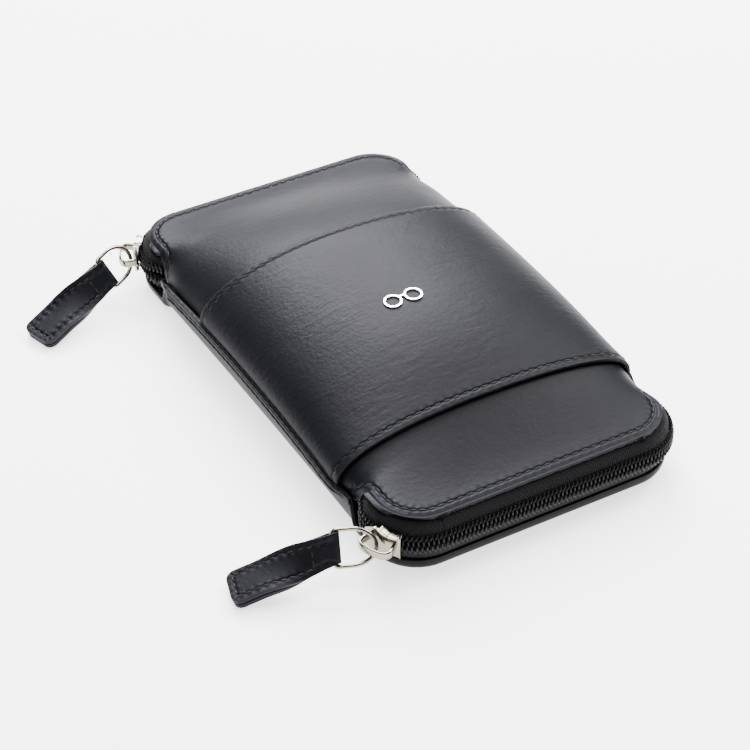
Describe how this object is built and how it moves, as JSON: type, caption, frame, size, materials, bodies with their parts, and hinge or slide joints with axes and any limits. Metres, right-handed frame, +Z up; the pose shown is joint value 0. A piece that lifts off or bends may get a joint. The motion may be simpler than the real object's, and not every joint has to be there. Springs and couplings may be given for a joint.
{
  "type": "multi glasses organizer",
  "caption": "Slim leather case for two pairs of glasses, with a crowned top, a stitched band, a sloping divider and a zip with a leather pull across each short end.",
  "frame": {"origin": "middle of the flat base, between the two zip ends and the two side seams", "axes": "X across the case, sliders on the -X side; Y along its length, the end with the short bare panel at -Y; Z up"},
  "size_m": [0.1458, 0.1774, 0.0361],
  "materials": {
    "black_leather": "smooth black cowhide with a soft semi-matt sheen",
    "lining_fabric": "dark grey microfibre lining",
    "greyboard": "dense greyboard stiffener",
    "foam_pad": "thin felted padding",
    "zip_tape": "matt black woven zip tape",
    "zip_coil": "glossy black nylon coil",
    "polished_nickel": "polished nickel plate",
    "silver_foil": "silver foil stamping"
  },
  "bodies": {
    "case": {"bottom_leather": "black_leather", "bottom_board": "greyboard", "bottom_lining": "lining_fabric", "top_leather": "black_leather", "top_pad": "foam_pad", "top_lining": "lining_fabric", "band_leather": "black_leather", "divider_panel": "lining_fabric", "side_welt_left": "black_leather", "side_welt_right": "black_leather", "foil_mark": "silver_foil", "front_tape_corner": "zip_tape", "front_tape_tail": "zip_tape", "front_tape_lower": "zip_tape", "front_coil_corner": "zip_coil", "front_coil_lower": "zip_coil", "back_tape_corner": "zip_tape", "back_tape_tail": "zip_tape", "back_tape_lower": "zip_tape", "back_coil_corner": "zip_coil", "back_coil_lower": "zip_coil"},
    "front_lip": {"front_lip_leather": "black_leather", "front_lip_lining": "lining_fabric", "front_tape_upper": "zip_tape", "front_coil_upper": "zip_coil"},
    "front_slider": {"front_slider_body": "polished_nickel", "front_slider_bridge": "polished_nickel"},
    "front_ring": {"front_pull_ring": "polished_nickel"},
    "front_tab": {"front_pull_leather": "black_leather", "front_pull_core": "greyboard"},
    "back_lip": {"back_lip_leather": "black_leather", "back_lip_lining": "lining_fabric", "back_tape_upper": "zip_tape", "back_coil_upper": "zip_coil"},
    "back_slider": {"back_slider_body": "polished_nickel", "back_slider_bridge": "polished_nickel"},
    "back_ring": {"back_pull_ring": "polished_nickel"},
    "back_tab": {"back_pull_leather": "black_leather", "back_pull_core": "greyboard"}
  },
  "joints": [
    {"name": "front_lip_hinge", "type": "hinge", "parent": "case", "child": "front_lip", "pos_m": [0, -0.067, 0.02333], "axis": [-1, 0, 0], "range_deg": [0, 40]},
    {"name": "front_slider_run", "type": "hinge", "parent": "case", "child": "front_slider", "pos_m": [-0.0338, -0.0715, 0.012], "axis": [0, 0, 1], "range_deg": [-12, 55]},
    {"name": "front_ring_swing", "type": "hinge", "parent": "front_slider", "child": "front_ring", "pos_m": [-0.05223, -0.08049, 0.0126], "axis": [-0.1828, -0.4901, -0.8523], "range_deg": [-20, 40]},
    {"name": "front_tab_swing", "type": "hinge", "parent": "front_ring", "child": "front_tab", "pos_m": [-0.06308, -0.07518, 0.01188], "axis": [-0.1828, -0.4901, -0.8523], "range_deg": [-60, 60]},
    {"name": "back_lip_hinge", "type": "hinge", "parent": "case", "child": "back_lip", "pos_m": [0, 0.067, 0.02443], "axis": [1, 0, 0], "range_deg": [0, 40]},
    {"name": "back_slider_run", "type": "hinge", "parent": "case", "child": "back_slider", "pos_m": [-0.0338, 0.0715, 0.012], "axis": [0, 0, -1], "range_deg": [-12, 55]},
    {"name": "back_ring_swing", "type": "hinge", "parent": "back_slider", "child": "back_ring", "pos_m": [-0.05232, 0.08053, 0.013], "axis": [0.3593, -0.4727, -0.8047], "range_deg": [-20, 40]},
    {"name": "back_tab_swing", "type": "hinge", "parent": "back_ring", "child": "back_tab", "pos_m": [-0.06302, 0.07512, 0.0114], "axis": [0.3593, -0.4727, -0.8047], "range_deg": [-60, 60]}
  ]
}
